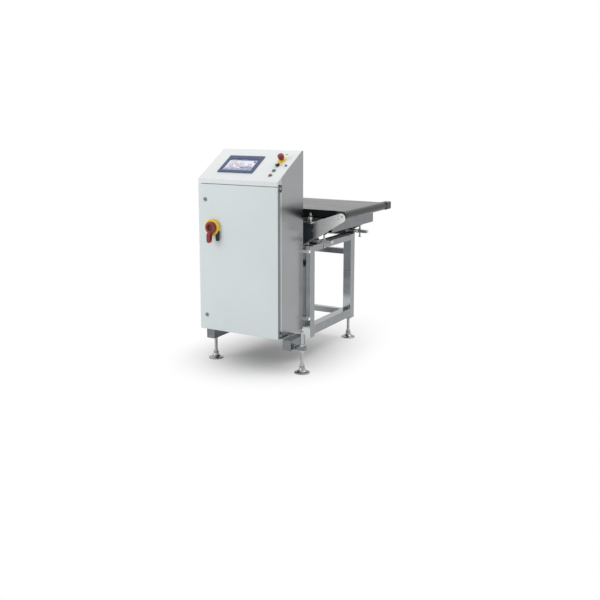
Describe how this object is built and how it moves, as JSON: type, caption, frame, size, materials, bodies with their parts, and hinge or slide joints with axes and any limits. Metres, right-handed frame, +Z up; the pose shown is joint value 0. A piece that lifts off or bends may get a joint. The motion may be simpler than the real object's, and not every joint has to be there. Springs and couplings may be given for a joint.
{
  "type": "checkweigher",
  "caption": "Control cabinet with sloped operator panel on a tube stand that carries a wide weighing belt on load cells, with levelling feet.",
  "frame": {"origin": "on the floor, under the middle of the machine's outline", "axes": "+Z up; +X the way the belt carries, to the operator's right; -Y towards the operator, the door's side"},
  "size_m": [1.0538, 1.212, 1.395],
  "materials": {
    "stainless": "brushed stainless sheet and tube",
    "door_paint": "pale blue-grey satin paint",
    "lid_paint": "near-white satin paint",
    "zinc": "zinc-plated and turned steel",
    "bearing_steel": "ground steel",
    "aluminium": "milled and anodised",
    "device_grey": "moulded grey plastic",
    "device_dark": "moulded dark plastic",
    "black_plastic": "moulded black plastic",
    "black_sheet": "black powder coat",
    "rubber": "matt rubber",
    "belt": "matt woven-backed belt",
    "bezel_blue": "smooth blue plastic",
    "screen": "smooth display face",
    "yellow": "moulded yellow plastic",
    "red": "moulded red plastic",
    "green": "moulded green plastic",
    "lens": "clear green lens"
  },
  "bodies": {
    "stand": {"cabinet_sides": "stainless", "cabinet_back": "stainless", "cabinet_floor": "stainless", "door_rim": "stainless", "foot_frame": "stainless", "mounting_bars": "stainless", "legs": "stainless", "side_rails": "stainless", "cross_rails": "stainless", "side_plates": "stainless", "end_beams": "stainless", "slider_bed": "stainless", "operator_panel": "lid_paint", "fixed_hinges": "zinc", "mounting_plate": "zinc", "din_rails": "zinc", "cable_glands": "zinc", "control_rings": "zinc", "foot_bases": "zinc", "foot_nuts": "zinc", "threaded_rods": "zinc", "drum_axles": "zinc", "load_cells": "aluminium", "cable_ducts": "device_grey", "power_supply": "device_grey", "weigh_controller": "device_grey", "terminal_blocks": "device_grey", "main_switch_body": "device_dark", "motor_drive": "device_dark", "panel_housings": "device_dark", "bearing_blocks": "black_plastic", "motor_head": "black_plastic", "cell_spacers": "black_plastic", "bay_covers": "black_sheet", "load_pads": "rubber", "conveyor_belt": "belt", "display_bezel": "bezel_blue", "display_screen": "screen", "e_stop_ring": "yellow", "signal_lamp": "lens"},
    "door": {"door": "door_paint", "door_seal": "rubber", "switch_plate": "yellow", "padlock_hasp": "black_plastic", "lock_housings": "zinc"},
    "upper_lock": {"upper_lock": "zinc"},
    "lower_lock": {"lower_lock": "zinc"},
    "switch_handle": {"switch_handle": "red"},
    "switch_shaft": {"switch_shaft": "zinc"},
    "e_stop": {"e_stop_head": "red"},
    "selector": {"selector_knob": "black_plastic"},
    "stop_button": {"stop_button": "red"},
    "start_button": {"start_button": "green"},
    "reset_button": {"reset_button": "bezel_blue"},
    "drive_drum": {"drive_drum": "bearing_steel"},
    "idler_drum": {"idler_drum": "bearing_steel"},
    "front_left_spindle": {"front_left_spindle": "zinc"},
    "front_right_spindle": {"front_right_spindle": "zinc"},
    "rear_left_spindle": {"rear_left_spindle": "zinc"},
    "rear_right_spindle": {"rear_right_spindle": "zinc"}
  },
  "joints": [
    {"name": "door_swing", "type": "hinge", "parent": "stand", "child": "door", "pos_m": [0.2655, -0.5165, 0.699], "axis": [0, 0, 1], "range_deg": [0, 120]},
    {"name": "upper_lock_turn", "type": "hinge", "parent": "door", "child": "upper_lock", "pos_m": [-0.287, -0.544, 1.083], "axis": [0, 1, 0], "range_deg": [-90, 0]},
    {"name": "lower_lock_turn", "type": "hinge", "parent": "door", "child": "lower_lock", "pos_m": [-0.287, -0.544, 0.315], "axis": [0, 1, 0], "range_deg": [-90, 0]},
    {"name": "switch_turn", "type": "hinge", "parent": "door", "child": "switch_handle", "pos_m": [-0.226, -0.544, 0.905], "axis": [0, 1, 0], "range_deg": [0, 90]},
    {"name": "shaft_turn", "type": "hinge", "parent": "stand", "child": "switch_shaft", "pos_m": [-0.226, -0.544, 0.905], "axis": [0, 1, 0], "range_deg": [0, 90]},
    {"name": "e_stop_press", "type": "slide", "parent": "stand", "child": "e_stop", "axis": [0, -0.5107, 0.8597], "range_m": [-0.005, 0]},
    {"name": "selector_turn", "type": "hinge", "parent": "stand", "child": "selector", "pos_m": [0.172, -0.39441, 1.30387], "axis": [0, -0.5107, 0.8597], "range_deg": [0, 90]},
    {"name": "stop_button_press", "type": "slide", "parent": "stand", "child": "stop_button", "axis": [0, -0.5107, 0.8597], "range_m": [-0.004, 0], "stiffness_N_per_m": 1500, "springref_m": 0.002},
    {"name": "start_button_press", "type": "slide", "parent": "stand", "child": "start_button", "axis": [0, -0.5107, 0.8597], "range_m": [-0.004, 0], "stiffness_N_per_m": 1500, "springref_m": 0.002},
    {"name": "reset_button_press", "type": "slide", "parent": "stand", "child": "reset_button", "axis": [0, -0.5107, 0.8597], "range_m": [-0.004, 0], "stiffness_N_per_m": 1500, "springref_m": 0.002},
    {"name": "drive_drum_spin", "type": "hinge", "parent": "stand", "child": "drive_drum", "pos_m": [0.4992, 0.201, 0.9772], "axis": [0, 1, 0], "continuous": true},
    {"name": "idler_drum_spin", "type": "hinge", "parent": "stand", "child": "idler_drum", "pos_m": [-0.4992, 0.201, 0.9772], "axis": [0, 1, 0], "continuous": true},
    {"name": "front_left_spindle_turn", "type": "hinge", "parent": "stand", "child": "front_left_spindle", "pos_m": [-0.274, -0.467, 0.15], "axis": [0, 0, 1], "continuous": true},
    {"name": "front_right_spindle_turn", "type": "hinge", "parent": "stand", "child": "front_right_spindle", "pos_m": [0.391, -0.467, 0.15], "axis": [0, 0, 1], "continuous": true},
    {"name": "rear_left_spindle_turn", "type": "hinge", "parent": "stand", "child": "rear_left_spindle", "pos_m": [-0.274, 0.444, 0.15], "axis": [0, 0, 1], "continuous": true},
    {"name": "rear_right_spindle_turn", "type": "hinge", "parent": "stand", "child": "rear_right_spindle", "pos_m": [0.274, 0.444, 0.15], "axis": [0, 0, 1], "continuous": true}
  ],
  "couplings": [
    {"joint": "shaft_turn", "follows": "switch_turn", "ratio": 1},
    {"joint": "idler_drum_spin", "follows": "drive_drum_spin", "ratio": 1}
  ]
}
